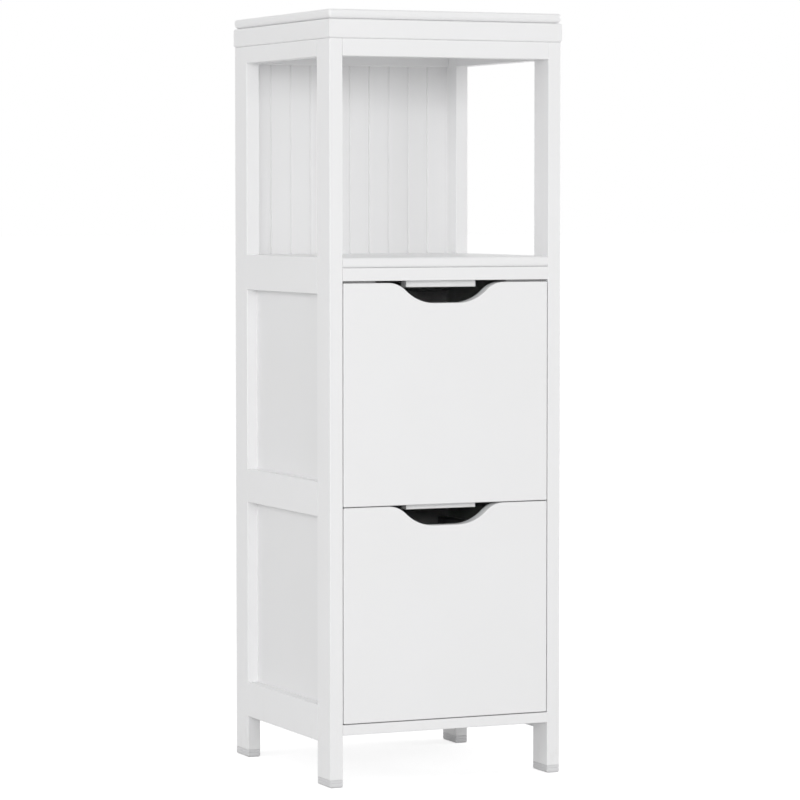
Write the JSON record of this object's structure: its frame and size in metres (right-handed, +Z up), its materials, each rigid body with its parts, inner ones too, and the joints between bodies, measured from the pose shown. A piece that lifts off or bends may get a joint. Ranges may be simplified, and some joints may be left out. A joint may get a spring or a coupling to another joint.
{
  "type": "bathroom floor cabinet",
  "caption": "Slim free-standing white bathroom floor cabinet with an open compartment over inset drawers with crescent finger cut-outs, on short legs.",
  "frame": {"origin": "on the floor at the middle of the cabinet's plan", "axes": "+Z up, the drawers open towards -Y, +X to the right as seen from the front"},
  "size_m": [0.295, 0.295, 0.89],
  "materials": {
    "white_paint": "medium-density fibreboard with a smooth satin white paint",
    "panel_paint": "thin painted fibreboard panel, satin white",
    "drawer_box": "fibreboard with a matt dark grey foil",
    "birch": "plain birch, unfinished",
    "steel": "bright zinc-plated steel",
    "zinc": "die-cast zinc, dull",
    "glide_plastic": "moulded pale grey plastic"
  },
  "bodies": {
    "cabinet": {"left_front_post": "white_paint", "left_back_post": "white_paint", "right_front_post": "white_paint", "right_back_post": "white_paint", "left_top_rail": "white_paint", "left_shelf_rail": "white_paint", "left_middle_rail": "white_paint", "left_bottom_rail": "white_paint", "right_top_rail": "white_paint", "right_shelf_rail": "white_paint", "right_middle_rail": "white_paint", "right_bottom_rail": "white_paint", "left_upper_panel": "panel_paint", "left_lower_panel": "panel_paint", "right_upper_panel": "panel_paint", "right_lower_panel": "panel_paint", "top_board": "white_paint", "top_strip_front": "white_paint", "top_strip_back": "white_paint", "top_strip_left": "white_paint", "top_strip_right": "white_paint", "front_top_rail": "white_paint", "front_shelf_rail": "white_paint", "rear_top_rail": "white_paint", "rear_shelf_rail": "white_paint", "rear_bottom_rail": "white_paint", "shelf_board": "white_paint", "bottom_board": "white_paint", "back_panel_upper": "panel_paint", "back_panel_lower": "panel_paint", "drawer_stop_rails": "white_paint", "left_upper_runner": "birch", "left_lower_runner": "birch", "right_upper_runner": "birch", "right_lower_runner": "birch", "foot_glides": "glide_plastic", "frame_dowels": "birch", "cross_dowels": "birch", "cam_bolts": "steel", "cam_locks": "zinc", "runner_screws": "steel", "top_screws": "steel"},
    "upper_drawer": {"upper_drawer_front": "white_paint", "upper_drawer_left_side": "drawer_box", "upper_drawer_right_side": "drawer_box", "upper_drawer_back": "drawer_box", "upper_drawer_bottom": "drawer_box", "upper_drawer_dowels": "birch", "upper_drawer_cam_bolts": "steel", "upper_drawer_cam_locks": "zinc", "upper_drawer_screws": "steel"},
    "lower_drawer": {"lower_drawer_front": "white_paint", "lower_drawer_left_side": "drawer_box", "lower_drawer_right_side": "drawer_box", "lower_drawer_back": "drawer_box", "lower_drawer_bottom": "drawer_box", "lower_drawer_dowels": "birch", "lower_drawer_cam_bolts": "steel", "lower_drawer_cam_locks": "zinc", "lower_drawer_screws": "steel"}
  },
  "joints": [
    {"name": "upper_drawer_slide", "type": "slide", "parent": "cabinet", "child": "upper_drawer", "axis": [0, -1, 0], "range_m": [0, 0.2]},
    {"name": "lower_drawer_slide", "type": "slide", "parent": "cabinet", "child": "lower_drawer", "axis": [0, -1, 0], "range_m": [0, 0.2]}
  ]
}
